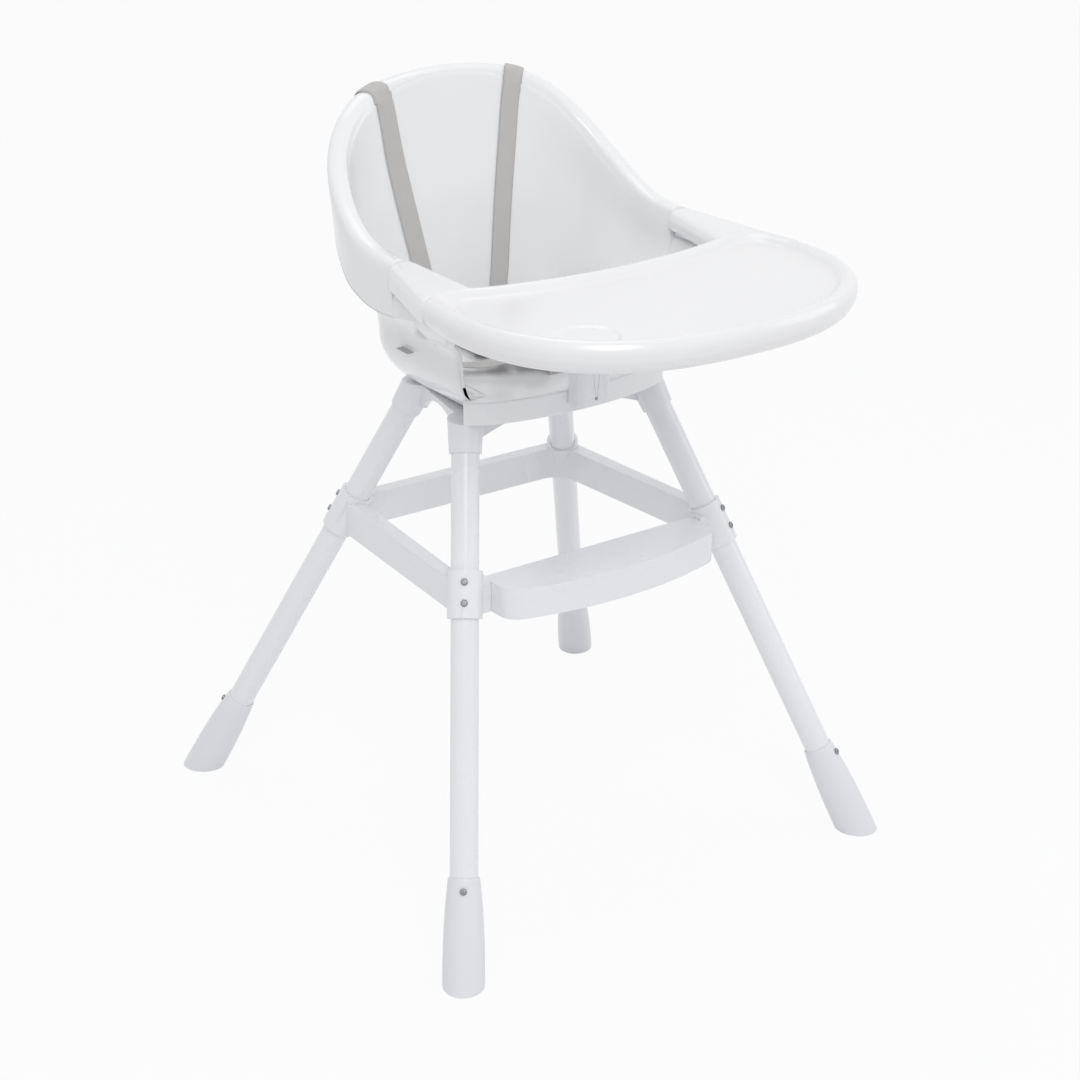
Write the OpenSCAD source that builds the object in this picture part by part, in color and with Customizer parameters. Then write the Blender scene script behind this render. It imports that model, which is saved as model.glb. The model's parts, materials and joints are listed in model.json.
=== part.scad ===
// Baby high chair: moulded bucket seat on four splayed tube legs,
// with a mid brace ring, a footrest step, a slide-off tray and a five-point harness.
// +Z is up, the child faces -Y, and the child's left hand is at +X.

/* [Legs] */
// Outer diameter of the leg tubes
tube_d = 32; // [25:0.5:38]
// Wall of the leg tubes
tube_wall = 1.5; // [1:0.1:3]
// Half spread of the front feet across the chair
front_foot_x = 292; // [250:1:340]
// Half spread of the rear feet across the chair
rear_foot_x = 301; // [260:1:350]
// Distance of each foot from the middle, front to back
foot_y = 305; // [260:1:350]
// Half spread of the front leg axes at the hub's top
front_top_x = 126; // [115:1:132]
// Half spread of the rear leg axes at the hub's top
rear_top_x = 98; // [88:1:106]
// Distance of each leg axis from the middle at the hub's top
top_y = 69; // [62:1:74]
// Height of the hub's top face
hub_z = 561; // [480:1:620]
// Height of each foot sleeve
foot_h = 104; // [80:1:130]
// Radius of a foot sleeve at the floor
foot_base_r = 23.8; // [21:0.2:28]

/* [Brace] */
// Height of the brace ring's underside
brace_z = 360; // [300:1:400]
// Height of the brace ring's bars
brace_h = 40; // [30:1:50]
// Thickness of the brace ring's bars
brace_t = 18; // [12:1:24]
// Reach of the footrest step in front of the brace ring
step_reach = 57; // [40:1:75]
// Width of the footrest step
step_w = 300; // [240:1:310]

/* [Seat] */
// Wall of the moulded seat shell
shell_t = 4; // [3:0.1:5]
// Height of the backrest's top edge above the seat pan
back_h = 313; // [260:1:360]
// Width of the rolled rim
rim_w = 24; // [18:1:28]
// Height of the seat pan above the hub's top face
pan_rise = 29; // [24:1:34]
// Width of the crotch post
post_w = 44; // [36:1:52]

/* [Tray] */
// Half width of the tray
tray_half = 240; // [225:1:260]
// Reach of the tray's front edge from the middle
tray_front = 421; // [380:1:460]
// Radius of the cup recess
cup_r = 32; // [26:1:36]
// Depth of the cup recess
cup_depth = 1.5; // [1:0.1:2]

/* [Harness] */
// Width of the harness webbing
web_w = 25; // [20:1:30]
// Thickness of the harness webbing
web_t = 1.6; // [1.2:0.1:2.2]

/* [Fits] */
// Radial clearance of tubes in their sleeves and of plugs in the tubes
tube_fit = 0.15; // [0.1:0.01:0.3]
// Gap between faces that slide past each other
slide_gap = 0.4; // [0.3:0.05:0.8]
// Radius of the screw shanks
screw_r = 2; // [1.5:0.1:2.5]

/* [Hidden] */
LEG_NAMES = ["front_left", "front_right", "rear_left", "rear_right"];
$fn = 64;

EPS = 0.01;
BIG = 900;
tube_r = tube_d / 2;
sleeve_r = tube_r + 4;
screw_fit = 0.1;
head_r = 4;
head_h = 2.2;

// Leg rows: foot x and y, then top x and y.
LEGS = [
    [front_foot_x, -foot_y, front_top_x, -top_y],
    [-front_foot_x, -foot_y, -front_top_x, -top_y],
    [rear_foot_x, foot_y, rear_top_x, top_y],
    [-rear_foot_x, foot_y, -rear_top_x, top_y]];
function leg_run(k) = norm([LEGS[k][0] - LEGS[k][2], LEGS[k][1] - LEGS[k][3]]);
function leg_tilt(k) = atan2(leg_run(k), hub_z);
function leg_turn(k) = atan2(LEGS[k][1] - LEGS[k][3], LEGS[k][0] - LEGS[k][2]);
// Distance along leg k's axis at height z, and the axis point there
function leg_s(k, z) = z / cos(leg_tilt(k));
function leg_xy(k, z) = [
    LEGS[k][0] + (LEGS[k][2] - LEGS[k][0]) * z / hub_z,
    LEGS[k][1] + (LEGS[k][3] - LEGS[k][1]) * z / hub_z];

sleeve_top_z = brace_z + 48;
leg_joint_z = brace_z + 28;
socket_low_z = hub_z - 36;
tube_top_z = hub_z - 9;
tube_low_z = 24;
plug_half = 42;
sleeve_screw_z = [brace_z + 15, brace_z + 36];
foot_screw_z = foot_h - 12;
plate_t = 6;

pan_z = hub_z + pan_rise;
top_z = pan_z + back_h;
front_lip_y = -90;
lip_bow = 32;
lip_half = 141;
lip_lap = 3;
seat_screw_xy = [for (x = [-80, 80], y = [-50, 45]) [x, y]];

// The middle of the whole chair lies on the origin, front to back.
rear_extent = foot_y + foot_base_r * 0.99;
y_off = (tray_front - rear_extent) / 2;
module place() translate([0, y_off, 0]) children();

// ---------------------------------------------------------------- helpers
function mix(a, b, t) = a + (b - a) * t;
function flat(lists) = [for (l = lists) for (p = l) p];
function unit(v) = v / norm(v);

// Skin of a grid of points: rings[i][j] with i along the sweep and j round the closed section.
// The section holds an inner chain and then the outer chain backwards, so the ends close pair by pair.
module skin(rings) {
    n = len(rings);
    m = len(rings[0]);
    h = m / 2;
    sides = [for (i = [0:n - 2], j = [0:m - 1]) let (
        a = i * m + j, b = i * m + (j + 1) % m, c = a + m, d = b + m)
        each [[a, c, b], [b, c, d]]];
    ends = [for (j = [0:h - 2]) let (
        p = j, q = j + 1, r = m - 2 - j, s = m - 1 - j, o = (n - 1) * m)
        each [[p, q, r], [p, r, s], [o + q, o + p, o + r], [o + r, o + p, o + s]]];
    polyhedron(flat(rings), concat(sides, ends), convexity = 10);
}

module on_leg(k) {
    translate([LEGS[k][0], LEGS[k][1], 0]) rotate([0, -leg_tilt(k), leg_turn(k)]) children();
}

// A tube along leg k between two heights
module leg_tube(k, z0, z1, r_out, r_in) {
    on_leg(k) translate([0, 0, leg_s(k, z0)]) difference() {
        cylinder(h = leg_s(k, z1 - z0), r = r_out);
        translate([0, 0, -1]) cylinder(h = leg_s(k, z1 - z0) + 2, r = r_in);
    }
}

// A screw hole that runs from leg k's axis outwards at height z
module leg_hole(k, z) {
    on_leg(k) translate([0, 0, leg_s(k, z)]) rotate([0, 90, 0]) cylinder(h = 60, r = screw_r + screw_fit, $fn = 24);
}

module leg_screw(k, z, seat_r) {
    on_leg(k) translate([0, 0, leg_s(k, z)]) rotate([0, 90, 0]) {
        translate([0, 0, seat_r - 12]) cylinder(h = 12 + EPS, r = screw_r, $fn = 24);
        translate([0, 0, seat_r]) button_head();
    }
}

// Low round screw head with a cross recess
module button_head() {
    difference() {
        union() {
            cylinder(h = head_h * 0.55, r = head_r, $fn = 32);
            translate([0, 0, head_h * 0.55]) cylinder(h = head_h * 0.45, r1 = head_r, r2 = head_r * 0.65, $fn = 32);
        }
        for (a = [0, 90])
            rotate([0, 0, a]) translate([-2, -0.5, head_h - 1]) cube([4, 1, 2]);
    }
}

// ---------------------------------------------------------------- frame
module upper_leg(k) {
    color("white") difference() {
        leg_tube(k, leg_joint_z + 0.1, tube_top_z, tube_r, tube_r - tube_wall);
        leg_hole(k, sleeve_screw_z[1]);
    }
}

module lower_leg(k) {
    color("white") difference() {
        leg_tube(k, tube_low_z, leg_joint_z - 0.1, tube_r, tube_r - tube_wall);
        leg_hole(k, sleeve_screw_z[0]);
        leg_hole(k, foot_screw_z);
    }
}

module leg_plugs() {
    color("silver") for (k = [0:3]) difference() {
        on_leg(k) translate([0, 0, leg_s(k, leg_joint_z) - plug_half])
            cylinder(h = 2 * plug_half, r = tube_r - tube_wall - tube_fit);
        for (z = sleeve_screw_z) leg_hole(k, z);
    }
}

// Flared foot sleeve, cut level at the floor
module foot(k) {
    top_r = tube_r + 2;
    s_top = leg_s(k, foot_h);
    steps = 14;
    edge = [for (i = [0:steps]) let (u = i / steps)
        [foot_base_r - (foot_base_r - top_r) * pow(u, 2.4), s_top * u]];
    color("white") intersection() {
        difference() {
            on_leg(k) rotate_extrude() polygon(concat(
                [[0, -20], [foot_base_r, -20]], edge, [[top_r - 1, s_top + 1], [0, s_top + 1]]));
            on_leg(k) translate([0, 0, leg_s(k, tube_low_z) - 1]) cylinder(h = 200, r = tube_r + tube_fit);
            leg_hole(k, foot_screw_z);
        }
        translate([-BIG / 2, -BIG / 2, 0]) cube([BIG, BIG, BIG]);
    }
}

module sleeve_screws() {
    color("silver") for (k = [0:3], z = sleeve_screw_z) leg_screw(k, z, sleeve_r);
}

module foot_screws() {
    u = foot_screw_z / foot_h;
    seat_r = foot_base_r - (foot_base_r - tube_r - 2) * pow(u, 2.4) + 0.35;
    color("silver") for (k = [0:3]) leg_screw(k, foot_screw_z, seat_r);
}

// Closed outline through the four leg axes at height z, grown by r
module leg_quad(z, grow, r) {
    hull() for (k = [0:3]) let (p = leg_xy(k, z))
        translate([p[0] + sign(p[0]) * (grow - r), p[1] + sign(p[1]) * (grow - r)]) circle(r, $fn = 32);
}

module brace_ring() {
    z_mid = brace_z + brace_h / 2;
    color("white") difference() {
        union() {
            difference() {
                translate([0, 0, brace_z]) linear_extrude(brace_h) difference() {
                    leg_quad(z_mid, brace_t / 2, 14);
                    leg_quad(z_mid, -brace_t / 2, 30);
                }
                step_seat_cut();
            }
            for (k = [0:3]) on_leg(k) translate([0, 0, leg_s(k, brace_z)])
                cylinder(h = leg_s(k, sleeve_top_z - brace_z), r = sleeve_r);
        }
        for (k = [0:3]) on_leg(k) cylinder(h = BIG, r = tube_r + tube_fit);
        for (k = [0:3], z = sleeve_screw_z) leg_hole(k, z);
        for (x = step_screw_x) step_hole(x, screw_r + screw_fit);
    }
}

brace_front_y = leg_xy(0, brace_z + brace_h / 2)[1] - brace_t / 2;
step_plate_t = 4;
step_top_z = brace_z + brace_h - 3;
step_front_y = brace_front_y - step_reach;
step_rear_y = brace_front_y + brace_t - 2;
step_screw_x = [-90, 90];
step_bow = 17;

// Rebate along the top of the ring's front bar that the step's plate lies in
module step_seat_cut() {
    w = step_w + 2 * slide_gap;
    translate([-w / 2, brace_front_y - 20, step_top_z - step_plate_t - slide_gap])
        cube([w, brace_t + 40, 50]);
}

module step_hole(x, r) {
    translate([x, step_rear_y + 5, brace_z + 15]) rotate([90, 0, 0]) cylinder(h = 46, r = r, $fn = 24);
}

module step_outline(inset) {
    corner = 26 - inset;
    hull() {
        for (x = [-1, 1]) {
            translate([x * (step_w / 2 - 26), step_front_y + step_bow + 26]) circle(corner, $fn = 32);
            translate([x * (step_w / 2 - inset - 2), step_rear_y - 2]) circle(2, $fn = 32);
        }
        for (x = [-90:30:90])
            translate([x, step_front_y + step_bow * pow(x / 127, 2) + inset + 3]) circle(3, $fn = 32);
    }
}

module footrest() {
    color("white") difference() {
        union() {
            difference() {
                translate([0, 0, brace_z]) linear_extrude(step_top_z - brace_z) step_outline(0);
                translate([0, 0, brace_z - 1]) linear_extrude(step_top_z - step_plate_t - brace_z + 1)
                    step_outline(step_plate_t);
                translate([-BIG / 2, brace_front_y - slide_gap, brace_z - 1])
                    cube([BIG, 100, step_top_z - step_plate_t - brace_z + 1]);
            }
            for (x = step_screw_x)
                translate([x, brace_front_y - slide_gap, brace_z + 15]) rotate([90, 0, 0])
                    cylinder(h = step_reach - step_plate_t - 8, r = 6, $fn = 32);
        }
        for (x = step_screw_x) step_hole(x, screw_r + screw_fit);
    }
}

module step_screws() {
    color("silver") for (x = step_screw_x) translate([x, brace_front_y + brace_t, brace_z + 15]) {
        rotate([90, 0, 0]) translate([0, 0, -EPS]) cylinder(h = brace_t + 14, r = screw_r, $fn = 24);
        rotate([-90, 0, 0]) button_head();
    }
}

// ---------------------------------------------------------------- hub
hub_web = 7;
arch_drop = 18;

// Upright web between two leg tops, arched below
module hub_arch(p, q) {
    span = norm(q - p);
    half = span / 2 - 24;
    r = (half * half + arch_drop * arch_drop) / (2 * arch_drop);
    deep = hub_z - socket_low_z - 6;
    translate([p[0], p[1], hub_z - deep]) rotate([0, 0, atan2(q[1] - p[1], q[0] - p[0])])
        translate([0, hub_web / 2, 0]) rotate([90, 0, 0]) linear_extrude(hub_web) difference() {
            square([span, deep]);
            translate([span / 2, deep - plate_t - r]) circle(r, $fn = 128);
        }
}

module hub_frame() {
    tops = [for (k = [0, 1, 3, 2]) leg_xy(k, hub_z - 6)];
    color("white") difference() {
        union() {
            translate([0, 0, hub_z - plate_t]) linear_extrude(plate_t - 0.1) polygon(tops);
            for (i = [0:3]) hub_arch(tops[i], tops[(i + 1) % 4]);
            for (k = [0:3]) on_leg(k) translate([0, 0, leg_s(k, socket_low_z)])
                cylinder(h = leg_s(k, hub_z - socket_low_z) + 16, r1 = sleeve_r - 1.5, r2 = sleeve_r + 1.5);
        }
        for (k = [0:3]) on_leg(k) cylinder(h = leg_s(k, tube_top_z) + 0.3, r = tube_r + tube_fit);
        translate([-BIG / 2, -BIG / 2, hub_z - 0.1]) cube([BIG, BIG, 100]);
        for (p = seat_screw_xy) translate([p[0], p[1], hub_z - 20])
            cylinder(h = 30, r = screw_r + screw_fit, $fn = 24);
    }
}

module seat_screws() {
    color("silver") for (p = seat_screw_xy) translate([p[0], p[1], hub_z - plate_t]) {
        cylinder(h = plate_t + 16, r = screw_r, $fn = 24);
        rotate([180, 0, 0]) button_head();
    }
}

// ---------------------------------------------------------------- seat shell
// One row a station, from the middle of the back round to the front end of an arm:
// rim ridge x, y, drop below the top edge; flange foot x, y, drop; body x, y; outward heading.
step_drop = 185;
STATIONS = [
    [0, 170, 0, 0, 177, 19, 0, 130, 0],
    [57, 168, 4, 60, 175, 25, 52, 129, 20],
    [107, 160, 15, 113, 167, 51, 94, 125, 38],
    [146, 143, 39, 155, 147, 98, 127, 113, 52],
    [172, 118, 72, 181, 116, 158, 141, 90, 65],
    [187, 80, 108, 195, 72, 198, 146, 56, 78],
    [193, 40, 135, 201, 30, 213, 147, 20, 86],
    [193, 0, 149, 203, -10, 218, 147, -10, 90],
    [193, -46, 153, 203, -46, 216, 147, -46, 90],
    [192, -47, step_drop, 203, -47, 216, 147, -47, 90],
    [190, -135, step_drop, 200, -135, 200, 147, front_lip_y, 90]];
LAST = len(STATIONS) - 1;
SMOOTH_TO = 8;
steps_each = 3;
function drop_z(d) = top_z - d * back_h / 313;

function row(i) = STATIONS[max(0, min(LAST, i))];
// Mirror of a station for the smooth start at the middle of the back
function row_m(i) = i < 0 ? let (r = row(-i)) [-r[0], r[1], r[2], -r[3], r[4], r[5], -r[6], r[7], -r[8]] : row(i);
function spline(a, b, c, d, t) =
    0.5 * (2 * b + (c - a) * t + (2 * a - 5 * b + 4 * c - d) * t * t + (3 * b - a - 3 * c + d) * t * t * t);
function station(s) = let (i = min(floor(s), LAST - 1), t = s - i)
    i >= SMOOTH_TO ? mix(row(i), row(i + 1), t)
    : spline(row_m(i - 1), row(i), row(i + 1 > SMOOTH_TO ? SMOOTH_TO : i + 1),
             row(min(i + 2, SMOOTH_TO)), t);

half_rim = rim_w / 2;
wall_z = pan_z + 52;
// Section at station s: the child's side from the pan over the rim, then the outside back down
function chain(s) = let (
        p = station(s), d = [sin(p[8]), cos(p[8])],
        r = [p[0], p[1]], rz = drop_z(p[2]),
        f = [p[3], p[4]], fz = drop_z(p[5]),
        b = [p[6], p[7]],
        h = rz - fz, a = min(14, 0.45 * h), e = min(24, 0.62 * h),
        w0 = r - d * (half_rim + 1.5), w1 = b - d * shell_t,
        belly = 8 * sin(p[8]),
        in2 = mix(w0, w1, 0.33) + d * belly, in1 = mix(w0, w1, 0.67) + d * belly * 0.9,
        z2 = mix(rz - e, wall_z, 0.33), z1 = mix(rz - e, wall_z, 0.67),
        m = mix(r + d * half_rim, f, 0.55), mz = mix(rz - a, fz, 0.55))
    [[at(b - d * 38, pan_z), at(b - d * 38, pan_z - shell_t)],
     [at(b - d * 24, pan_z + 1.5), at(b - d * 22, pan_z - shell_t + 1)],
     [at(b - d * 13, pan_z + 8), at(b - d * 10, pan_z + 3)],
     [at(b - d * 7, pan_z + 21), at(b - d * 3, pan_z + 18)],
     [at(w1, wall_z), at(b, wall_z)],
     [at(in1, z1), at(in1 + d * shell_t, z1)],
     [at(in2, z2), at(in2 + d * shell_t, z2)],
     [at(w0, rz - e), at(w0 + d * shell_t, rz - e)],
     [at(r - d * half_rim, rz - a), at(r - d * (half_rim - shell_t), rz - a)],
     [at(r - d * half_rim * 0.75, rz - 3), at(r - d * half_rim * 0.55, rz - 6)],
     [at(r, rz), at(r, rz - shell_t)],
     [at(r + d * half_rim * 0.75, rz - 3), at(r + d * half_rim * 0.55, rz - 6)],
     [at(r + d * half_rim, rz - a), at(r + d * (half_rim - shell_t), rz - a)],
     [at(m, mz), at(m - d * shell_t, mz)],
     [at(f, fz), at(f - d * shell_t, fz)]];
function at(p, z) = [p[0], p[1], z];
function loop_of(pairs) = let (n = len(pairs))
    concat([for (i = [0:n - 1]) pairs[i][0]], [for (i = [n - 1:-1:0]) pairs[i][1]]);
function flip(p) = [-p[0], p[1], p[2]];

STOPS = concat([for (i = [0:SMOOTH_TO * steps_each]) i / steps_each], [for (i = [SMOOTH_TO + 1:LAST]) i]);
ALL_STOPS = concat([for (i = [len(STOPS) - 1:-1:0]) STOPS[i]], [for (i = [1:len(STOPS) - 1]) -STOPS[i]]);

// Lower skirt that carries the rounded base under the pan
function base_chain(s) = let (p = station(s), d = [sin(p[8]), cos(p[8])], b = [p[6], p[7]],
        rows = [[4, 45, 8, 45], [9, 31, 13, 31.5], [20, 16, 24, 18], [32, 6, 34, 10], [46, 0, 46, 4]])
    [for (q = rows) [at(b - d * q[0], hub_z + q[1]), at(b - d * q[2], hub_z + q[3])]];

module round_the_back(side) {
    skin([for (s = ALL_STOPS) let (l = side == "bowl" ? loop_of(chain(abs(s))) : loop_of(base_chain(abs(s))))
        s < 0 ? [for (q = l) flip(q)] : l]);
}

function front_curve(inset) = [for (i = [-12:12]) let (t = i / 12)
    [(lip_half - inset) * t, front_lip_y + lip_lap - (lip_bow + lip_lap - inset) * pow(1 - t * t, 0.6)]];
function pan_edge() = [for (s = ALL_STOPS) let (p = station(abs(s)), d = [sin(p[8]), cos(p[8])],
        q = [p[6], p[7]] - d * 30) [s < 0 ? -q[0] : q[0], q[1]]];

waist_slot_y = 22;
waist_slot_z = pan_z + 30;
module seat_shell() {
    color("white") difference() {
        union() {
            round_the_back("bowl");
            round_the_back("base");
            translate([0, 0, pan_z - shell_t]) linear_extrude(shell_t)
                polygon(concat(pan_edge(), front_curve(0)));
            translate([0, 0, hub_z]) linear_extrude(pan_rise - 1)
                polygon(concat(front_curve(0), [for (i = [24:-1:0]) front_curve(shell_t)[i]]));
            for (p = seat_screw_xy) translate([p[0], p[1], hub_z]) cylinder(h = pan_rise - 1, r = 7, $fn = 32);
        }
        for (p = seat_screw_xy) translate([p[0], p[1], hub_z - 1])
            cylinder(h = 20, r = screw_r + screw_fit, $fn = 24);
        for (x = [-1, 1]) translate([x * 140 - 25, waist_slot_y - web_w / 2 - 2, waist_slot_z - 2.5])
            cube([50, web_w + 4, 5]);
        translate([-web_w / 2 - 2, crotch_slot_y - 3, pan_z - 20]) cube([web_w + 4, 6, 40]);
        for (z = post_screw_z) post_hole(z);
    }
}

// ---------------------------------------------------------------- crotch post
crotch_slot_y = -72;
post_back_y = front_lip_y - lip_bow - 0.3;
post_depth = 24;
post_top_z = hub_z + 141;
post_low_z = hub_z + 12;
post_screw_z = [hub_z + 20];
module post_hole(z) {
    translate([0, post_back_y + 12, z]) rotate([90, 0, 0]) cylinder(h = 50, r = screw_r + screw_fit, $fn = 24);
}

module crotch_post() {
    r = 8;
    color("white") difference() {
        translate([0, post_back_y, post_low_z]) linear_extrude(post_top_z - post_low_z) difference() {
            union() {
                translate([-post_w / 2, -post_depth + r]) square([post_w, post_depth - r]);
                translate([-post_w / 2 + r, -post_depth]) square([post_w - 2 * r, post_depth]);
                for (x = [-1, 1]) translate([x * (post_w / 2 - r), -post_depth + r]) circle(r);
            }
            translate([-post_w / 2 + shell_t, -post_depth + shell_t + 1])
                square([post_w - 2 * shell_t, post_depth - 2 * shell_t - 1]);
        }
        for (z = post_screw_z) post_hole(z);
    }
}

module post_screws() {
    color("silver") for (z = post_screw_z) translate([0, post_back_y + 0.6 + shell_t, z]) {
        rotate([90, 0, 0]) translate([0, 0, -EPS]) cylinder(h = shell_t + 3.8, r = screw_r, $fn = 24);
        rotate([-90, 0, 0]) button_head();
    }
}

// ---------------------------------------------------------------- tray
tray_z = top_z - 161;
tray_mid_y = -210;
tray_rear_y = -169;
tray_rear_rise = 33;
tray_bow = 2.4;
floor_inset = 26;
arm_z = drop_z(step_drop);

// Right half of the tray's outline, moved in by g
function tray_half_edge(g) = let (
        a = tray_half - g, b = tray_front + tray_mid_y - g, c = 200 - g * 0.75)
    concat(
        [for (k = [0:5]) let (u = k / 5) [c * u, tray_rear_y + tray_rear_rise * u * u - g]],
        [for (w = [30:30:60]) [c + (a - c - 5) * sin(w), tray_rear_y + tray_rear_rise - g - 24 * (1 - cos(w))]],
        [[a - 5, tray_rear_y + 9 - g * 0.7], [a - 1.5, tray_mid_y + 18 - g * 0.2]],
        [for (i = [0:10]) let (w = 9 * i)
            [a * pow(cos(w), 2 / tray_bow), tray_mid_y - b * pow(sin(w), 2 / tray_bow)]]);
function tray_ring(g, z) = let (h = tray_half_edge(g), n = len(h))
    concat([for (p = h) at(p, z)], [for (i = [n - 2:-1:1]) [-h[i][0], h[i][1], z]]);

// Section of the rim: inset from the edge and height above the tray's ridge, top and then underside
TRAY_RIM = [[26, -9], [22, -8], [17, -3], [12, -0.5], [8, 0], [4, -2.5], [0.8, -8], [0, -13], [1.5, -22],
    [6, -31], [12, -36], [17, -37], [20, -35.5], [18, -33.5], [13, -32.5], [8.5, -28], [5, -20],
    [4, -12], [7, -6.5], [11, -4.5], [15, -6.5], [20, -11.5], [26, -12.5]];

module tray_bowl() {
    rings = [for (q = TRAY_RIM) tray_ring(q[0], tray_z + q[1])];
    n = len(rings);
    m = len(rings[0]);
    sides = [for (i = [0:n - 2], j = [0:m - 1]) let (
        a = i * m + j, b = i * m + (j + 1) % m, c = a + m, d = b + m)
        each [[a, c, b], [b, c, d]]];
    polyhedron(flat(rings), concat(sides, [[for (j = [0:m - 1]) j]], [[for (j = [m - 1:-1:0]) (n - 1) * m + j]]),
        convexity = 10);
}

wing_rear_y = -47.8;
wing_front_y = -150;
wing_in_rear_x = 173.5;
wing_in_front_x = 162;
channel_in_x = 177;
channel_out_x = 206;
wing_t = 3.5;
arm_front_y = -135;
// Wing over an arm: a block whose outer edge widens towards the tray, with a channel for the arm
function wing_section(y) = let (u = (wing_rear_y - y) / (wing_rear_y - wing_front_y),
        o = mix(210, tray_half - 6, u), i = mix(wing_in_rear_x, wing_in_front_x, u), t = mix(7, 0, u),
        rows = [[i, -10, -22], [i + 3.5, -3, -23], [i + 10, 0, -24],
            [o - 10, 0, -30], [o - 3.5, -3, -30], [o, -12, -29]])
    loop_of([for (q = rows) [[q[0], y, tray_z + t + q[1]], [q[0], y, tray_z + t + q[2]]]]);

module hood() {
    difference() {
        skin([for (i = [0:4]) wing_section(mix(wing_front_y, wing_rear_y, i / 4))]);
        translate([channel_in_x, arm_front_y - 0.8, tray_z - 80])
            cube([channel_out_x - channel_in_x, 200, 80 - wing_t]);
    }
}

cup_x = -146;
cup_y = -328;
lever_x = 120;
lever_y = -262;
lever_w = 24;
lever_len = 60;
rib_t = 3;
tray_under_z = tray_z - 12.5;
module tray() {
    floor_top = tray_z - 9;
    color("white") difference() {
        union() {
            tray_bowl();
            hood();
            mirror([1, 0, 0]) hood();
            for (x = [-1, 1], y = [-1, 1])
                translate([x * lever_x - lever_len / 2, lever_y + y * (lever_w + rib_t) / 2 - rib_t / 2,
                    tray_under_z - 12]) cube([lever_len, rib_t, 12.5]);
        }
        intersection() {
            translate([cup_x, cup_y, floor_top - cup_depth]) cylinder(h = 20, r = cup_r);
            translate([0, 0, floor_top - 5]) linear_extrude(30)
                polygon([for (p = tray_ring(floor_inset - 2, 0)) [p[0], p[1]]]);
        }
    }
}

// Bar under a wing that slides along the flat top of an arm
module tray_runner(side) {
    color("white") translate([side * 190 - 8, wing_rear_y - 76, arm_z + slide_gap])
        cube([16, 72, tray_z - wing_t - arm_z - 0.6]);
}

// Release lever: a paddle between the tray's ribs, with a finger grip at its inner end
module tray_lever(side) {
    w = lever_w - 2 * slide_gap;
    color("gainsboro") translate([side * lever_x, lever_y, tray_under_z - slide_gap]) {
        translate([-lever_len / 2, -w / 2, -8]) cube([lever_len, w, 8]);
        translate([-side * (lever_len / 2 - 6) - 6, -w / 2, -20]) cube([12, w, 13]);
        for (x = [-12:6:12]) translate([x, -w / 2, -9]) cube([2, w, 2]);
    }
}

// ---------------------------------------------------------------- harness
web_gap = 1.1;
// Point on the child's side of the shell, v along the section
function shell_pt(s, v) = let (c = chain(s), i = min(floor(v), len(c) - 2), t = v - i)
    mix(c[i][0], c[i + 1][0], t);
function shell_normal(s, v) = unit(cross(
    shell_pt(s + 0.1, v) - shell_pt(s - 0.1, v), shell_pt(s, v + 0.2) - shell_pt(s, v - 0.2)));
// Cross-section of webbing that lies on the shell at s, v
function web_on_shell(s, v, lift) = let (
        hw = web_w / 2 / norm(shell_pt(s + 0.5, v) - shell_pt(s - 0.5, v)),
        a = shell_pt(s - hw, v), b = shell_pt(s + hw, v), n = shell_normal(s, v))
    [a + n * lift, b + n * lift, b + n * (lift + web_t), a + n * (lift + web_t)];
// Cross-section of free webbing at p, with its width along w and its face along n
function web_at(p, w, n) = let (a = unit(w) * web_w / 2, u = unit(n) * web_t / 2)
    [p - a - u, p + a - u, p + a + u, p - a + u];

function strap_station(v) = v > 10 ? 1.85 : v > 7 ? mix(1.78, 1.85, (v - 7) / 3)
    : v > 4 ? mix(1.0, 1.78, (v - 4) / 3) : mix(0.66, 1.0, v / 4);
tongue_z = pan_z + 15;
buckle_y = -30;
buckle_w = 44;
buckle_d = 36;
buckle_h = 13;
buckle_z = pan_z + 10;
tongue_in_x = buckle_w / 2 + 0.3;
tongue_out_x = tongue_in_x + 22;
tongue_w = 30;
SHOULDER_LEAD = [[33, buckle_y + tongue_w / 2 + 0.4, tongue_z], [33, 0, tongue_z - 2], [33, 25, pan_z + 10],
    [33, 60, pan_z + 6]];
WAIST_ROUTE = [[tongue_out_x + 0.4, buckle_y, tongue_z], [70, -22, pan_z + 10], [100, -2, pan_z + 11],
    [124, 15, pan_z + 20], [134, 21, waist_slot_z - 2], [139, waist_slot_y, waist_slot_z],
    [152, waist_slot_y, waist_slot_z]];
CROTCH_ROUTE = [[0, crotch_slot_y, pan_z - 10], [0, crotch_slot_y, pan_z + 3], [0, crotch_slot_y + 4, pan_z + 10],
    [0, crotch_slot_y + 13, pan_z + 15], [0, buckle_y - buckle_d / 2 - 0.3, pan_z + 16]];

module shoulder_strap(side) {
    lead = [for (p = SHOULDER_LEAD) web_at(p, [1, 0, 0], [0, 0, 1])];
    rest = [for (i = [1:27]) let (v = i / 2) web_on_shell(strap_station(v), v, web_gap)];
    color("silver") mirror([side < 0 ? 1 : 0, 0, 0]) skin(concat(lead, rest));
}

module waist_strap(side) {
    n = len(WAIST_ROUTE);
    function dir(i) = WAIST_ROUTE[min(i + 1, n - 1)] - WAIST_ROUTE[max(i - 1, 0)];
    color("silver") mirror([side < 0 ? 1 : 0, 0, 0])
        skin([for (i = [0:n - 1]) let (w = [0, 1, 0]) web_at(WAIST_ROUTE[i], w, cross(dir(i), w))]);
}

module crotch_strap() {
    n = len(CROTCH_ROUTE);
    function dir(i) = CROTCH_ROUTE[min(i + 1, n - 1)] - CROTCH_ROUTE[max(i - 1, 0)];
    color("silver") skin([for (i = [0:n - 1]) web_at(CROTCH_ROUTE[i], [-1, 0, 0], cross(dir(i), [-1, 0, 0]))]);
}

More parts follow.
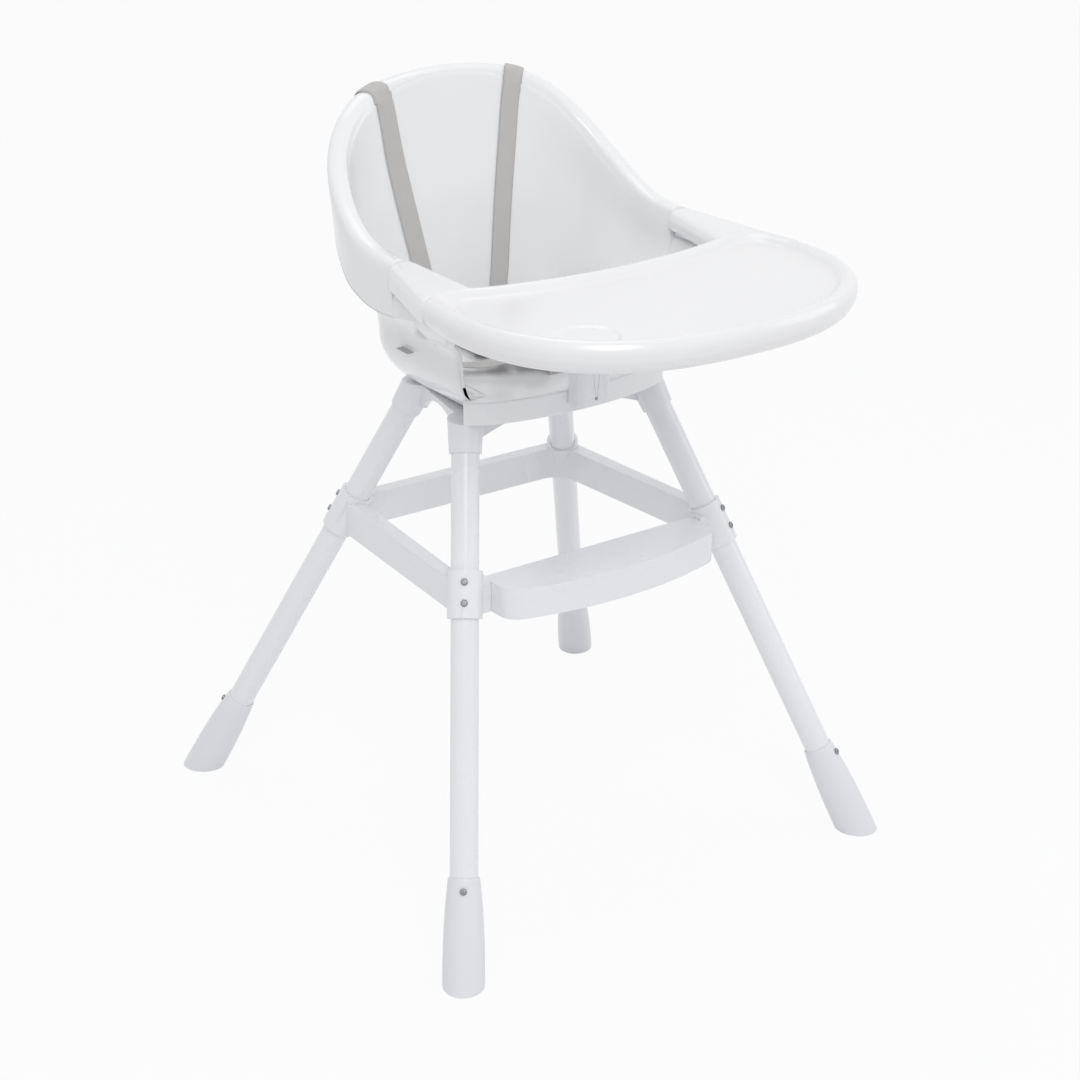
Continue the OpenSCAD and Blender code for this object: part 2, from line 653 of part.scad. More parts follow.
button_r = 10;
button_travel = 2;
module buckle_body() {
    r = 8;
    color("dimgray") difference() {
        translate([0, buckle_y, buckle_z]) linear_extrude(buckle_h) union() {
            square([buckle_w - 2 * r, buckle_d], center = true);
            square([buckle_w, buckle_d - 2 * r], center = true);
            for (x = [-1, 1], y = [-1, 1])
                translate([x * (buckle_w / 2 - r), y * (buckle_d / 2 - r)]) circle(r);
        }
        translate([0, buckle_y, buckle_z + buckle_h - 8]) cylinder(h = 20, r = button_r + slide_gap);
    }
}

module buckle_button() {
    color("gray") translate([0, buckle_y, buckle_z + buckle_h - 8 + button_travel + slide_gap]) {
        cylinder(h = 6.2, r = button_r);
        translate([0, 0, 6.2]) cylinder(h = 1, r1 = button_r, r2 = button_r - 1);
    }
}

module buckle_tongue(side) {
    color("dimgray") mirror([side < 0 ? 1 : 0, 0, 0]) difference() {
        translate([tongue_in_x, buckle_y - tongue_w / 2, tongue_z - 1.5])
            cube([tongue_out_x - tongue_in_x, tongue_w, 3]);
        translate([tongue_out_x - 8, buckle_y - web_w / 2 - 0.5, tongue_z - 5]) cube([4, web_w + 1, 10]);
    }
}

// Small plates that clamp the straps' ends to the back of the rim
module strap_anchors() {
    s = strap_station(13);
    color("gainsboro") for (side = [0, 1]) mirror([side, 0, 0]) skin([for (v = [12.5, 12.9, 13.3])
        let (q = web_on_shell(s, v, web_gap + web_t + 0.3), a = (q[1] - q[0]) * 0.08, n = shell_normal(s, v))
        [q[0] - a, q[1] + a, q[1] + a + n * 2, q[0] - a + n * 2]]);
}

module strap_adjusters() {
    color("dimgray") for (x = [-33, 33]) translate([x, 25, pan_z + 10]) difference() {
        cube([web_w + 8, 16, 7], center = true);
        cube([web_w + 1.4, 20, 4], center = true);
    }
}

place() seat_shell();
place() crotch_post();
place() hub_frame();
place() brace_ring();
place() footrest();
place() tray();
for (k = [0:3]) {
    place() upper_leg(k);
    place() lower_leg(k);
    place() foot(k);
}
place() leg_plugs();
place() sleeve_screws();
place() foot_screws();
place() seat_screws();
place() step_screws();
place() post_screws();
place() tray_runner(1);  // tray_runner_left
place() tray_runner(-1);  // tray_runner_right
place() tray_lever(1);  // tray_lever_left
place() tray_lever(-1);  // tray_lever_right
place() shoulder_strap(1);  // shoulder_strap_left
place() shoulder_strap(-1);  // shoulder_strap_right
place() waist_strap(1);  // waist_strap_left
place() waist_strap(-1);  // waist_strap_right
place() crotch_strap();
place() buckle_body();
place() buckle_button();
place() buckle_tongue(1);  // buckle_tongue_left
place() buckle_tongue(-1);  // buckle_tongue_right
place() strap_anchors();
place() strap_adjusters();
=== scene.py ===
# Looks of the baby high chair: moulded white shell and tray, painted tubes, woven grey harness.
import json
import math

import bmesh
import bpy
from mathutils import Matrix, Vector


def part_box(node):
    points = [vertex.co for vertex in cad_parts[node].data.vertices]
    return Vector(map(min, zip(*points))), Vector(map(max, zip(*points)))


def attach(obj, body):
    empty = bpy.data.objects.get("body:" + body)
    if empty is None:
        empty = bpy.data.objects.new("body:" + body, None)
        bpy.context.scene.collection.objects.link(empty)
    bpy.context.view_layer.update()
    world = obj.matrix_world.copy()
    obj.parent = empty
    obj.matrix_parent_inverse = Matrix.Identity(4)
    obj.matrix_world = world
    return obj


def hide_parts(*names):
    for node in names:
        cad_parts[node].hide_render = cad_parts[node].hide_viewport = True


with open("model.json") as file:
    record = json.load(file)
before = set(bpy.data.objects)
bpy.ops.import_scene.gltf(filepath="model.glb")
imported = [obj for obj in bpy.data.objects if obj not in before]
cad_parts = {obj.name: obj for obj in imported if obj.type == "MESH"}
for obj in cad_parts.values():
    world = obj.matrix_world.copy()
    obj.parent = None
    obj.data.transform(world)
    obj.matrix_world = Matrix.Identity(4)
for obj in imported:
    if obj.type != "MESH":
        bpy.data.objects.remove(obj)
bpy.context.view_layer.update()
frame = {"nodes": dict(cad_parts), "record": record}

NODES = frame["nodes"]
MM = 0.001
SEAT_GAP = 0.1

# The chair's own middle, which its sizes are measured from, lies a little behind the origin.
plug_low, plug_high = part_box("leg_plugs")
Y_OFF = (plug_low.y + plug_high.y) / 2 / MM
HUB_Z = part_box("hub_frame")[1].z / MM + SEAT_GAP
TOP_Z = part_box("seat_shell")[1].z / MM
TRAY_LOW, TRAY_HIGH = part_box("tray")


# ------------------------------------------------------------------ small tools
def metres(p):
    return Vector((p[0] * MM, (p[1] + Y_OFF) * MM, p[2] * MM))


def mix(a, b, t):
    if isinstance(a, (int, float)):
        return a + (b - a) * t
    return [x + (y - x) * t for x, y in zip(a, b)]


def spline(a, b, c, d, t):
    return [0.5 * (2 * q + (r - p) * t + (2 * p - 5 * q + 4 * r - s) * t * t + (3 * q - p - 3 * r + s) * t ** 3)
            for p, q, r, s in zip(a, b, c, d)]


def smooth_loop(points, each):
    """A closed round of points with `each` points in every stretch."""
    n = len(points)
    return [spline(points[i - 1], points[i], points[(i + 1) % n], points[(i + 2) % n], k / each)
            for i in range(n) for k in range(each)]


def smooth_run(points, each):
    """An open run of points, smoothed, with both ends kept."""
    n = len(points)
    run = [spline(points[max(i - 1, 0)], points[i], points[i + 1], points[min(i + 2, n - 1)], k / each)
           for i in range(n - 1) for k in range(each)]
    return run + [list(points[-1])]


def new_object(name, verts, faces, smooth=True):
    mesh = bpy.data.meshes.new(name)
    mesh.from_pydata([metres(v) for v in verts], [], faces)
    mesh.validate()
    mesh.update()
    if smooth:
        mesh.shade_smooth()
    obj = bpy.data.objects.new(name, mesh)
    bpy.context.scene.collection.objects.link(obj)
    return obj


def skin_of(rings):
    """Vertices and side faces of a skin over rings of equal length, each a closed round."""
    n, m = len(rings), len(rings[0])
    verts = [p for ring in rings for p in ring]
    faces = [(i * m + j, i * m + (j + 1) % m, (i + 1) * m + (j + 1) % m, (i + 1) * m + j)
             for i in range(n - 1) for j in range(m)]
    return verts, faces


def swept(name, rings):
    """Skin over rings, each a face run followed by its back run, closed at both ends with strips."""
    n, m = len(rings), len(rings[0])
    verts, faces = skin_of(rings)
    half = m // 2
    for base in (0, (n - 1) * m):
        faces += [(base + j, base + j + 1, base + m - 2 - j, base + m - 1 - j) for j in range(half - 1)]
    obj = new_object(name, verts, faces)
    recalc(obj)
    return obj


def recalc(obj):
    bm = bmesh.new()
    bm.from_mesh(obj.data)
    bmesh.ops.recalc_face_normals(bm, faces=bm.faces)
    bm.to_mesh(obj.data)
    bm.free()


def modify(obj, kind, **settings):
    mod = obj.modifiers.new(kind.lower(), kind)
    for key, value in settings.items():
        setattr(mod, key, value)
    return mod


def apply_all(obj):
    """Bakes the modifiers of a piece of this script's own into its mesh."""
    deps = bpy.context.evaluated_depsgraph_get()
    mesh = bpy.data.meshes.new_from_object(obj.evaluated_get(deps))
    obj.modifiers.clear()
    obj.data = mesh
    mesh.shade_smooth()


def join(name, objs):
    bpy.ops.object.select_all(action="DESELECT")
    for o in objs:
        o.select_set(True)
    bpy.context.view_layer.objects.active = objs[0]
    bpy.ops.object.join()
    objs[0].name = name
    return objs[0]


# ------------------------------------------------------------------ materials
def shader(name):
    mat = bpy.data.materials.new(name)
    mat.use_nodes = True
    return mat, mat.node_tree, mat.node_tree.nodes["Principled BSDF"]


def noise(tree, scale, detail=2.0):
    tex = tree.nodes.new("ShaderNodeTexCoord")
    node = tree.nodes.new("ShaderNodeTexNoise")
    node.inputs["Scale"].default_value = scale
    node.inputs["Detail"].default_value = detail
    tree.links.new(tex.outputs["Object"], node.inputs["Vector"])
    return node


def ranged(tree, source, low, high):
    node = tree.nodes.new("ShaderNodeMapRange")
    node.inputs["From Min"].default_value = 0.3
    node.inputs["From Max"].default_value = 0.7
    node.inputs["To Min"].default_value = low
    node.inputs["To Max"].default_value = high
    tree.links.new(source, node.inputs["Value"])
    return node.outputs["Result"]


def tint(tree, source, first, second):
    ramp = tree.nodes.new("ShaderNodeValToRGB")
    ramp.color_ramp.elements[0].position = 0.3
    ramp.color_ramp.elements[1].position = 0.7
    ramp.color_ramp.elements[0].color = (*first, 1)
    ramp.color_ramp.elements[1].color = (*second, 1)
    tree.links.new(source, ramp.inputs["Fac"])
    return ramp.outputs["Color"]


def bump(tree, bsdf, height, distance, strength=0.3):
    node = tree.nodes.new("ShaderNodeBump")
    node.inputs["Strength"].default_value = strength
    node.inputs["Distance"].default_value = distance
    tree.links.new(height, node.inputs["Height"])
    tree.links.new(node.outputs["Normal"], bsdf.inputs["Normal"])


def plastic(name, colour, rough=(0.2, 0.3), coat=0.0, grain=900.0, depth=0.00003, shift=0.012):
    """Moulded plastic: slow colour drift, gloss that varies, and a fine surface grain."""
    mat, tree, bsdf = shader(name)
    slow = noise(tree, 7.0)
    fine = noise(tree, grain, 4.0)
    darker = [max(0.0, c - shift) for c in colour]
    tree.links.new(tint(tree, slow.outputs["Fac"], darker, colour), bsdf.inputs["Base Color"])
    tree.links.new(ranged(tree, slow.outputs["Fac"], *rough), bsdf.inputs["Roughness"])
    bump(tree, bsdf, fine.outputs["Fac"], depth)
    bsdf.inputs["Coat Weight"].default_value = coat
    bsdf.inputs["Coat Roughness"].default_value = 0.12
    bsdf.inputs["IOR"].default_value = 1.49
    return mat


def metal(name, colour):
    mat, tree, bsdf = shader(name)
    fine = noise(tree, 1500.0, 3.0)
    tree.links.new(tint(tree, fine.outputs["Fac"], [c * 0.8 for c in colour], colour), bsdf.inputs["Base Color"])
    tree.links.new(ranged(tree, fine.outputs["Fac"], 0.25, 0.42), bsdf.inputs["Roughness"])
    bump(tree, bsdf, fine.outputs["Fac"], 0.00003)
    bsdf.inputs["Metallic"].default_value = 1.0
    return mat


def webbing(name, light, dark):
    """Woven tape: warp ribs along the tape and weft picks across it."""
    mat, tree, bsdf = shader(name)
    uv = tree.nodes.new("ShaderNodeTexCoord")

    def wave(direction, scale):
        node = tree.nodes.new("ShaderNodeTexWave")
        node.bands_direction = direction
        node.inputs["Scale"].default_value = scale
        tree.links.new(uv.outputs["UV"], node.inputs["Vector"])
        return node.outputs["Fac"]

    ribs, picks = wave("X", 260.0), wave("Y", 330.0)
    weave = tree.nodes.new("ShaderNodeMath")
    weave.operation = "MULTIPLY"
    tree.links.new(ribs, weave.inputs[0])
    tree.links.new(picks, weave.inputs[1])
    tree.links.new(tint(tree, weave.outputs[0], dark, light), bsdf.inputs["Base Color"])
    bsdf.inputs["Roughness"].default_value = 0.85
    bsdf.inputs["Sheen Weight"].default_value = 0.3
    bump(tree, bsdf, weave.outputs[0], 0.0003, 0.6)
    return mat


WHITE = (0.88, 0.883, 0.89)
LOOKS = {
    "white_shell": plastic("shell_white", WHITE, (0.16, 0.24), 0.35),
    "white_frame": plastic("frame_white", (0.85, 0.86, 0.88), (0.24, 0.34), 0.15),
    "white_tube": plastic("tube_paint", (0.85, 0.86, 0.88), (0.2, 0.3), 0.4, 400.0, 0.00006),
    "white_foot": plastic("foot_white", (0.80, 0.81, 0.84), (0.3, 0.42), 0.05, 700.0, 0.00008),
    "tray_white": plastic("tray_gloss", (0.87, 0.87, 0.875), (0.18, 0.26), 0.3),
    "plug_plastic": plastic("plug_grey", (0.5, 0.5, 0.5), (0.5, 0.6)),
    "screw_steel": metal("zinc_screw", (0.33, 0.33, 0.35)),
    "buckle_plastic": plastic("buckle_grey", (0.035, 0.035, 0.042), (0.38, 0.5), 0.0, 1200.0, 0.0001, 0.01),
    "button_plastic": plastic("button_grey", (0.2, 0.2, 0.21), (0.35, 0.45), 0.0, 1200.0, 0.0001),
    "lever_plastic": plastic("lever_grey", (0.72, 0.73, 0.75), (0.35, 0.45)),
    "webbing": webbing("web_grey", (0.74, 0.73, 0.71), (0.5, 0.49, 0.48)),
}


def paint(obj, slot):
    obj.data.materials.clear()
    obj.data.materials.append(LOOKS[slot])


def finish_piece(obj, slot, body, *nodes):
    """Gives a piece of this script's own its material, its body and the CAD nodes it stands for."""
    paint(obj, slot)
    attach(obj, body)
    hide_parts(*nodes)


# ------------------------------------------------------------------ seat shell
PAN_RISE = 29
PAN_Z = HUB_Z + PAN_RISE
WALL = 4.0
HALF_RIM = 12.0
LIP_HALF = 141
LIP_Y = -87
LIP_BOW = 35
PAN_INSET = 30
SMOOTH_TO = 8
# A row a station: rim x, y, drop; flange foot x, y, drop; body x, y; outward heading
STATIONS = [
    [0, 170, 0, 0, 177, 19, 0, 130, 0],
    [57, 168, 4, 60, 175, 25, 52, 129, 20],
    [107, 160, 15, 113, 167, 51, 94, 125, 38],
    [146, 143, 39, 155, 147, 98, 127, 113, 52],
    [172, 118, 72, 181, 116, 158, 141, 90, 65],
    [187, 80, 108, 195, 72, 198, 146, 56, 78],
    [193, 40, 135, 201, 30, 213, 147, 20, 86],
    [193, 0, 149, 203, -10, 218, 147, -10, 90],
    [193, -46, 153, 203, -46, 216, 147, -46, 90],
    [192, -47, 185, 203, -47, 216, 147, -47, 90],
    [190, -135, 185, 200, -135, 200, 147, -90, 90]]
LAST = len(STATIONS) - 1


def side_of(s):
    return -1 if s < 0 else 1


def heading(p):
    a = math.radians(p[8])
    return math.sin(a), math.cos(a)


def station_row(i):
    if i < 0:
        return [v if k not in (0, 3, 6, 8) else -v for k, v in enumerate(STATIONS[-i])]
    return STATIONS[min(i, LAST)]


def station(s):
    i = min(int(math.floor(s)), LAST - 1)
    if i >= SMOOTH_TO:
        return mix(STATIONS[i], STATIONS[i + 1], s - i)
    return spline(station_row(i - 1), station_row(i), station_row(min(i + 1, SMOOTH_TO)),
                  station_row(min(i + 2, SMOOTH_TO)), s - i)


def section(s):
    """Pairs of points (child's side, outside) from the pan, up the wall, over the rim and down its flange."""
    p = station(abs(s))
    d = heading(p)
    rim, foot, body = p[0:2], p[3:5], p[6:8]
    rim_z, foot_z = TOP_Z - p[2], TOP_Z - p[5]
    wall_z = PAN_Z + 52
    tall = rim_z - foot_z
    shoulder, under = min(14, 0.45 * tall), min(24, 0.62 * tall)

    def out(q, k):
        return [q[0] + d[0] * k, q[1] + d[1] * k]

    top, low = out(rim, -1.5 - HALF_RIM), out(body, -WALL)
    belly = 8 * d[0]
    upper, lower = out(mix(top, low, 0.33), belly), out(mix(top, low, 0.67), belly * 0.9)
    z_up, z_low = mix(rim_z - under, wall_z, 0.33), mix(rim_z - under, wall_z, 0.67)
    middle, mid_z = mix(out(rim, HALF_RIM), foot, 0.55), mix(rim_z - shoulder, foot_z, 0.55)
    pairs = [
        (out(body, -38), PAN_Z, out(body, -38), PAN_Z - WALL),
        (out(body, -24), PAN_Z + 1.5, out(body, -22), PAN_Z - WALL + 1),
        (out(body, -13), PAN_Z + 8, out(body, -10), PAN_Z + 3),
        (out(body, -7), PAN_Z + 21, out(body, -3), PAN_Z + 18),
        (low, wall_z, body, wall_z),
        (lower, z_low, out(lower, WALL), z_low),
        (upper, z_up, out(upper, WALL), z_up),
        (top, rim_z - under, out(top, WALL), rim_z - under),
        (out(rim, -HALF_RIM), rim_z - shoulder, out(rim, WALL - HALF_RIM), rim_z - shoulder),
        (out(rim, -HALF_RIM * 0.75), rim_z - 3, out(rim, -HALF_RIM * 0.55), rim_z - 6),
        (rim, rim_z, rim, rim_z - WALL),
        (out(rim, HALF_RIM * 0.75), rim_z - 3, out(rim, HALF_RIM * 0.55), rim_z - 6),
        (out(rim, HALF_RIM), rim_z - shoulder, out(rim, HALF_RIM - WALL), rim_z - shoulder),
        (middle, mid_z, out(middle, -WALL), mid_z),
        (foot, foot_z, out(foot, -WALL), foot_z)]
    side = side_of(s)
    first = [[side * a[0], a[1], za] for a, za, b, zb in pairs]
    second = [[side * b[0], b[1], zb] for a, za, b, zb in pairs]
    return first, second


def stops(each):
    """Stations all the way round, dense on the curve and at the step where the tray's wings begin."""
    half = [i / each for i in range(SMOOTH_TO * each + 1)] + [8.5, 9, 9.02, 9.25, 9.5, 9.75, 10]
    return [-s for s in reversed(half[1:])] + half


def closed_ring(first, second):
    return smooth_run(first, 4) + list(reversed(smooth_run(second, 4)))


def shell_ring(s):
    return closed_ring(*section(s))


# Foot of the shell on the hub: inset and height of the child's side, then of the outside
BASE_ROWS = [(4, 45, 8, 45), (9, 31, 13, 31.5), (20, 16, 24, 18), (32, 6, 34, 10), (46, 0, 46, 4)]


def base_ring(s):
    p = station(abs(s))
    d = heading(p)
    side = side_of(s)
    first = [[side * (p[6] - d[0] * a), p[7] - d[1] * a, HUB_Z + za] for a, za, b, zb in BASE_ROWS]
    second = [[side * (p[6] - d[0] * b), p[7] - d[1] * b, HUB_Z + zb] for a, za, b, zb in BASE_ROWS]
    return closed_ring(first, second)


def lip_point(t, inset):
    return [(LIP_HALF - inset) * t, LIP_Y - (LIP_BOW - inset) * max(0.0, 1 - t * t) ** 0.6]


def slab(name, outline, low, high):
    """Flat piece over an outline, with square edges; make_seat rounds them with a bevel."""
    n = len(outline)
    verts = [[x, y, high] for x, y in outline] + [[x, y, low] for x, y in outline]
    faces = [tuple(range(n)), tuple(range(2 * n - 1, n - 1, -1))]
    faces += [(i, n + i, n + (i + 1) % n, (i + 1) % n) for i in range(n)]
    obj = new_object(name, verts, faces, smooth=False)
    recalc(obj)
    return obj


def make_seat():
    bowl = swept("seat_bowl", [shell_ring(s) for s in stops(6)])
    base = swept("seat_base", [base_ring(s) for s in stops(4)])
    edge = []
    for s in stops(3):
        p = station(abs(s))
        d = heading(p)
        edge.append([(p[6] - PAN_INSET * d[0]) * side_of(s), p[7] - PAN_INSET * d[1]])
    front = [lip_point(i / 20, 0) for i in range(20, -21, -1)]
    pan = slab("seat_pan", edge + front, PAN_Z - WALL, PAN_Z)
    inner = [lip_point(i / 20, WALL) for i in range(-20, 21)]
    lip = slab("seat_lip", front + inner, HUB_Z, PAN_Z - 1)
    for obj in (pan, lip):
        modify(obj, "BEVEL", width=0.0012, segments=3, limit_method="ANGLE")
    for obj in (bowl, base, pan, lip):
        finish_piece(obj, "white_shell", "chair", "seat_shell")


# ------------------------------------------------------------------ tray
TRAY_DROP = 161
TRAY_Z = TOP_Z - TRAY_DROP
MID_Y = -210
REAR_Y = -169
REAR_RISE = 33
BOW = 2.4
TRAY_HALF = TRAY_HIGH.x / MM
TRAY_FRONT = -(TRAY_LOW.y / MM - Y_OFF)
# How far in from the outline and how high, over the rim and round under it
RIM = [(30, -9.2), (26, -9), (22, -8), (17, -3), (12, -0.5), (8, 0), (4, -2.5), (0.8, -8), (0, -13), (1.5, -22),
       (6, -31), (12, -36), (17, -37), (20, -35.5), (18, -33.5), (13, -32.5), (8.5, -28), (5, -20),
       (4, -12), (7, -6.5), (11, -4.5), (15, -6.5), (20, -11.5), (26, -12.5), (30, -12.6)]


def tray_edge(g):
    """Outline of the tray moved in by g, all the way round from the middle of the rear edge."""
    a, b, c = TRAY_HALF - g, TRAY_FRONT + MID_Y - g, 200 - g * 0.75
    half = [[c * k / 5, REAR_Y + REAR_RISE * (k / 5) ** 2 - g] for k in range(6)]
    for w in (30, 60):
        w = math.radians(w)
        half.append([c + (a - c - 5) * math.sin(w), REAR_Y + REAR_RISE - g - 24 * (1 - math.cos(w))])
    half += [[a - 5, REAR_Y + 9 - g * 0.7], [a - 1.5, MID_Y + 18 - g * 0.2]]
    for i in range(11):
        w = math.radians(9 * i)
        half.append([a * max(0.0, math.cos(w)) ** (2 / BOW), MID_Y - b * math.sin(w) ** (2 / BOW)])
    half[-1][0] = 0.0
    return half + [[-x, y] for x, y in reversed(half[1:-1])]


def tray_ring(g, z):
    return [[x, y, TRAY_Z + z] for x, y in smooth_loop(tray_edge(g), 4)]


WING_REAR_Y = -47.8
WING_FRONT_Y = -152
WING_STEPS = 12


def wing_block(side):
    """Hood over an arm, with a channel for the arm under it."""
    rings = []
    for i in range(WING_STEPS + 1):
        t = i / WING_STEPS
        y = mix(WING_REAR_Y, WING_FRONT_Y, t)
        inner, outer, lift = mix(173.5, 162, t), mix(210, TRAY_HALF - 5, t), mix(7, 0, t)
        top = [[inner, y, -22], [inner, y, -10], [inner + 3.5, y, -3], [inner + 10, y, 0], [outer - 10, y, 0],
               [outer - 3.5, y, -3], [outer, y, -12], [outer - 1, y, -29]]
        under = [[inner + 3.5, y, -22], [inner + 3.5, y, -11], [inner + 6, y, -6], [inner + 11, y, -3.5],
                 [outer - 12, y, -3.5], [outer - 6, y, -6], [outer - 3.5, y, -13], [outer - 4.5, y, -29]]
        rings.append([[side * x, yy, TRAY_Z + lift + z] for x, yy, z in top + list(reversed(under))])
    return swept("wing", rings)


# Cup recess: x, y, radius, depth
CUP = (-146, -328, 32, 1.5)


def make_tray():
    rings = [tray_ring(g, z) for g, z in RIM]
    n, m = len(rings), len(rings[0])
    verts, faces = skin_of(rings)
    faces += [tuple(range(m)), tuple(range((n - 1) * m, n * m))]
    bowl = new_object("tray_bowl", verts, faces)
    recalc(bowl)
    tray = join("tray_moulding", [bowl, wing_block(1), wing_block(-1)])
    modify(tray, "REMESH", mode="VOXEL", voxel_size=0.0016, adaptivity=0.0)
    modify(tray, "SMOOTH", factor=0.5, iterations=6)
    apply_all(tray)
    sink_cup(tray)
    finish_piece(tray, "tray_white", "tray", "tray")


def sink_cup(tray):
    """Presses the round cup recess into the top of the tray's floor."""
    cx, cy, r, depth = CUP
    low = (TRAY_Z - 11.5) * MM
    for v in tray.data.vertices:
        if v.co.z < low:
            continue
        x, y = v.co.x / MM, v.co.y / MM - Y_OFF
        gap = r - math.hypot(x - cx, y - cy)
        if gap <= -2 or v.co.z > (TRAY_Z - 4) * MM:
            continue
        v.co.z -= depth * 1.4 * MM * min(1.0, max(0.0, (gap + 2) / 4))


# ------------------------------------------------------------------ harness
WEB_W = 25.0
WEB_T = 1.6
TONGUE_Z = PAN_Z + 15
BUCKLE_Y = -30
SHOULDER_LEAD = [(33, -14.6, TONGUE_Z), (33, 0, TONGUE_Z - 2), (33, 25, PAN_Z + 10), (33, 60, PAN_Z + 6)]
WAIST_ROUTE = [(44.7, BUCKLE_Y, TONGUE_Z), (70, -22, PAN_Z + 10), (100, -2, PAN_Z + 11), (124, 15, PAN_Z + 20),
               (134, 21, PAN_Z + 28), (139, 22, PAN_Z + 30), (152, 22, PAN_Z + 30)]
CROTCH_ROUTE = [(0, -72, PAN_Z - 10), (0, -72, PAN_Z + 3), (0, -68, PAN_Z + 10), (0, -59, PAN_Z + 15),
                (0, -48.3, PAN_Z + 16)]
COLUMNS = 8


def strap_station(v):
    """Station a shoulder strap runs at, v steps up the shell's section."""
    if v > 10:
        return 1.85
    if v > 7:
        return mix(1.78, 1.85, (v - 7) / 3)
    return mix(1.0, 1.78, (v - 4) / 3) if v > 4 else mix(0.66, 1.0, v / 4)


def shell_point(s, v):
    first, _ = section(s)
    i = min(int(v), len(first) - 2)
    a = first[max(i - 1, 0)]
    d = first[min(i + 2, len(first) - 1)]
    return Vector(spline(a, first[i], first[i + 1], d, v - i))


def shell_normal(s, v):
    along = shell_point(s, min(v + 0.2, 13.99)) - shell_point(s, v - 0.2)
    return (shell_point(s + 0.1, v) - shell_point(s - 0.1, v)).cross(along).normalized()


def web_row(centre_points, normals):
    """Closed round over a tape's face and back, with soft edges."""
    n = len(centre_points)
    front, back = [], []
    for k, (p, u) in enumerate(zip(centre_points, normals)):
        thin = 0.45 if k in (0, n - 1) else 1.0
        front.append(p + u * WEB_T / 2 * thin)
        back.append(p - u * WEB_T / 2 * thin)
    return [list(q) for q in front + back[::-1]]


def row_on_shell(v):
    s = strap_station(v)
    per = (shell_point(s + 0.5, v) - shell_point(s - 0.5, v)).length
    spots = [s + (k / COLUMNS - 0.5) * WEB_W / per for k in range(COLUMNS + 1)]
    u = [shell_normal(q, v) for q in spots]
    return web_row([shell_point(q, v) + w * (0.5 + WEB_T / 2) for q, w in zip(spots, u)], u)


def row_at(p, across, face):
    a, u = Vector(across).normalized(), Vector(face).normalized()
    return web_row([Vector(p) + a * (k / COLUMNS - 0.5) * WEB_W for k in range(COLUMNS + 1)], [u] * (COLUMNS + 1))


def route_rows(points, each, across):
    """Rows of a tape along an open route, each square to it."""
    route = smooth_run(points, each)
    rows = []
    for i, p in enumerate(route):
        a, b = Vector(route[max(i - 1, 0)]), Vector(route[min(i + 1, len(route) - 1)])
        rows.append(row_at(p, across, (b - a).cross(Vector(across))))
    return rows


def tape(name, rows, node, mirrored=False):
    if mirrored:
        rows = [[[-x, y, z] for x, y, z in row] for row in rows]
    obj = swept(name, rows)
    uv = obj.data.uv_layers.new(name="tape")
    m = len(rows[0])
    run = [0.0]
    for a, b in zip(rows, rows[1:]):
        run.append(run[-1] + (Vector(a[m // 4]) - Vector(b[m // 4])).length * MM)
    for loop in obj.data.loops:
        i, j = divmod(loop.vertex_index, m)
        column = j if j <= COLUMNS else m - 1 - j
        uv.data[loop.index].uv = (column / COLUMNS * WEB_W * MM, run[i])
    finish_piece(obj, "webbing", "chair", node)


def make_harness():
    for side in ("left", "right"):
        lead = [row_at(p, (1, 0, 0), (0, 0, 1)) for p in smooth_run(SHOULDER_LEAD, 5)]
        rest = [row_on_shell(0.5 + i / 8) for i in range(int(13.2 * 8) - 3)]
        tape("shoulder_webbing_" + side, lead + rest, "shoulder_strap_" + side, side == "right")
        waist = route_rows(WAIST_ROUTE, 5, (0, 1, 0))
        tape("waist_webbing_" + side, waist, "waist_strap_" + side, side == "right")
    tape("crotch_webbing", route_rows(CROTCH_ROUTE, 6, (-1, 0, 0)), "crotch_strap")


# ------------------------------------------------------------------ carried-over CAD pieces
def dress_cad():
    slots = {row["node"]: row["material_slot"] for row in frame["record"]["subparts"]}
    rounding = {"brace_ring": 3.0, "footrest": 3.0, "hub_frame": 1.2, "crotch_post": 0.3, "buckle_body": 2.0}
    for name, obj in NODES.items():
        if obj.hide_render:
            continue
        paint(obj, slots[name])
        width = rounding.get(name, 0.8 if name.startswith(("foot_", "tray_", "buckle", "strap_")) else 0.25)
        modify(obj, "WELD", merge_threshold=0.00001)
        modify(obj, "BEVEL", width=width * MM, segments=3, limit_method="ANGLE", angle_limit=math.radians(50),
               harden_normals=False)
        modify(obj, "WEIGHTED_NORMAL", keep_sharp=False)
        obj.data.shade_smooth()


# ------------------------------------------------------------------ stage
def area_light(name, place, aim, size, power):
    data = bpy.data.lights.new(name, "AREA")
    data.shape = "DISK"
    data.size = size
    data.energy = power
    obj = bpy.data.objects.new(name, data)
    obj.location = place
    obj.rotation_euler = (Vector(aim) - Vector(place)).to_track_quat("-Z", "Y").to_euler()
    bpy.context.scene.collection.objects.link(obj)


def backdrop_share(tree):
    """1 for rays from the camera, in mirrors and through glass; 0 for the light that reaches the object."""
    path = tree.nodes.new("ShaderNodeLightPath")
    seen = path.outputs["Is Camera Ray"]
    for other in ("Is Glossy Ray", "Is Transmission Ray"):
        node = tree.nodes.new("ShaderNodeMath")
        node.operation = "MAXIMUM"
        tree.links.new(seen, node.inputs[0])
        tree.links.new(path.outputs[other], node.inputs[1])
        seen = node.outputs[0]
    return seen


FLOOR_SIZE = 14
FLOOR_WHITE_SHARE = 0.9
WORLD_STRENGTH = 0.68


